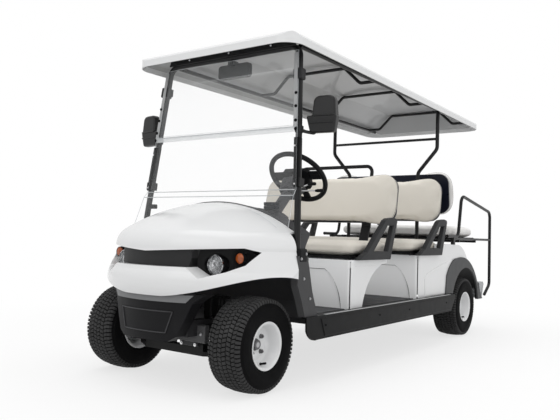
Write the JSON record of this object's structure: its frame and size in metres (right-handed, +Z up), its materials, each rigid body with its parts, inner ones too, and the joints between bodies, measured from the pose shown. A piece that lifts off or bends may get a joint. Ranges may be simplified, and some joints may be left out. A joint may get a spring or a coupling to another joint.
{
  "type": "six-seat electric golf cart",
  "caption": "White electric golf cart with a long roof, two forward seat rows and one that faces the rear; it steers, rolls and its seats lift.",
  "frame": {"origin": "on the ground, below the middle of the cart's overall box", "axes": "+X to the cart's left, -Y forward, +Z up"},
  "size_m": [1.4016, 3.5698, 1.8853],
  "materials": {
    "white_body": "gloss",
    "black_plastic": "satin",
    "grey_plastic": "matt",
    "black_metal": "satin",
    "frame_metal": "matt",
    "white_metal": "gloss",
    "grey_metal": "satin",
    "bare_steel": "satin",
    "tyre_rubber": "matt",
    "mat_rubber": "matt",
    "cushion_cream": "satin",
    "back_navy": "satin",
    "clear_sheet": "clear",
    "lamp_clear": "clear",
    "lamp_amber": "clear",
    "battery_case": "matt"
  },
  "bodies": {
    "chassis": {"chassis_rails": "frame_metal", "cross_members": "frame_metal", "front_subframe": "frame_metal", "front_suspension": "frame_metal", "rear_axle": "frame_metal", "drive_motor": "frame_metal", "rear_springs": "frame_metal", "floor_pan": "frame_metal", "floor_mat": "mat_rubber", "sills": "black_plastic", "cowl_sides": "black_plastic", "front_cowl": "white_body", "lamp_panel": "black_plastic", "headlamps": "lamp_clear", "turn_lamps": "lamp_amber", "bumper": "black_plastic", "bumper_band": "grey_plastic", "dash": "black_plastic", "steering_column": "black_plastic", "pedals": "black_metal", "front_pillars": "black_metal", "windscreen_lower": "clear_sheet", "windscreen_upper": "clear_sheet", "roof_shell": "white_body", "roof_frame": "black_metal", "rear_struts": "black_metal", "side_mirrors": "black_plastic", "interior_mirror": "black_plastic", "front_seat_base": "white_body", "rear_body": "white_body", "fender_flares": "grey_plastic", "battery_pack": "battery_case", "seat_hinges": "black_metal", "front_backrest": "cushion_cream", "middle_backrest": "cushion_cream", "rear_backrest": "cushion_cream", "back_shells": "back_navy", "front_back_frame": "black_metal", "armrests": "grey_plastic", "guard_frame": "black_metal", "footstep": "grey_metal"},
    "steering_wheel": {"steering_wheel": "black_plastic"},
    "knuckle_left": {"knuckle_left": "bare_steel"},
    "knuckle_right": {"knuckle_right": "bare_steel"},
    "tie_rod": {"tie_rod": "bare_steel"},
    "wheel_front_left": {"front_tyre_left": "tyre_rubber", "front_rim_left": "white_metal"},
    "wheel_front_right": {"front_tyre_right": "tyre_rubber", "front_rim_right": "white_metal"},
    "wheel_rear_left": {"rear_tyre_left": "tyre_rubber", "rear_rim_left": "white_metal"},
    "wheel_rear_right": {"rear_tyre_right": "tyre_rubber", "rear_rim_right": "white_metal"},
    "front_seat": {"front_seat_pan": "black_plastic", "front_cushion": "cushion_cream"},
    "middle_seat": {"middle_seat_pan": "black_plastic", "middle_cushion": "cushion_cream"},
    "rear_seat": {"rear_seat_deck": "black_plastic", "rear_cushion": "cushion_cream"}
  },
  "joints": [
    {"name": "steer_left", "type": "hinge", "parent": "chassis", "child": "knuckle_left", "pos_m": [0.3, -1.44425, 0.2285], "axis": [0, 0, 1], "range_deg": [-28, 28]},
    {"name": "steer_right", "type": "hinge", "parent": "chassis", "child": "knuckle_right", "pos_m": [-0.3, -1.44425, 0.2285], "axis": [0, 0, 1], "range_deg": [-28, 28]},
    {"name": "steering_wheel_turn", "type": "hinge", "parent": "chassis", "child": "steering_wheel", "pos_m": [0.285, -0.87225, 1.085], "axis": [0, 0.7071, 0.7071], "range_deg": [-392, 392]},
    {"name": "tie_rod_slide", "type": "slide", "parent": "chassis", "child": "tie_rod", "axis": [1, 0, 0], "range_m": [-0.0447, 0.0447]},
    {"name": "wheel_spin_front_left", "type": "hinge", "parent": "knuckle_left", "child": "wheel_front_left", "pos_m": [0.4325, -1.44425, 0.2285], "axis": [1, 0, 0], "continuous": true},
    {"name": "wheel_spin_front_right", "type": "hinge", "parent": "knuckle_right", "child": "wheel_front_right", "pos_m": [-0.4325, -1.44425, 0.2285], "axis": [1, 0, 0], "continuous": true},
    {"name": "wheel_spin_rear_left", "type": "hinge", "parent": "chassis", "child": "wheel_rear_left", "pos_m": [0.466, 1.12575, 0.2285], "axis": [1, 0, 0], "continuous": true},
    {"name": "wheel_spin_rear_right", "type": "hinge", "parent": "chassis", "child": "wheel_rear_right", "pos_m": [-0.466, 1.12575, 0.2285], "axis": [1, 0, 0], "continuous": true},
    {"name": "front_seat_lift", "type": "hinge", "parent": "chassis", "child": "front_seat", "pos_m": [0, -0.66625, 0.635], "axis": [1, 0, 0], "range_deg": [0, 60]},
    {"name": "middle_seat_lift", "type": "hinge", "parent": "chassis", "child": "middle_seat", "pos_m": [0, 0.16175, 0.653], "axis": [1, 0, 0], "range_deg": [0, 60]},
    {"name": "rear_seat_flip", "type": "hinge", "parent": "chassis", "child": "rear_seat", "pos_m": [0, 1.46075, 0.765], "axis": [-1, 0, 0], "range_deg": [0, 180]}
  ],
  "couplings": [
    {"joint": "steering_wheel_turn", "follows": "steer_left", "ratio": 14},
    {"joint": "steer_right", "follows": "steer_left", "ratio": 1},
    {"joint": "tie_rod_slide", "follows": "steer_left", "m_per_rad": -0.0913}
  ]
}
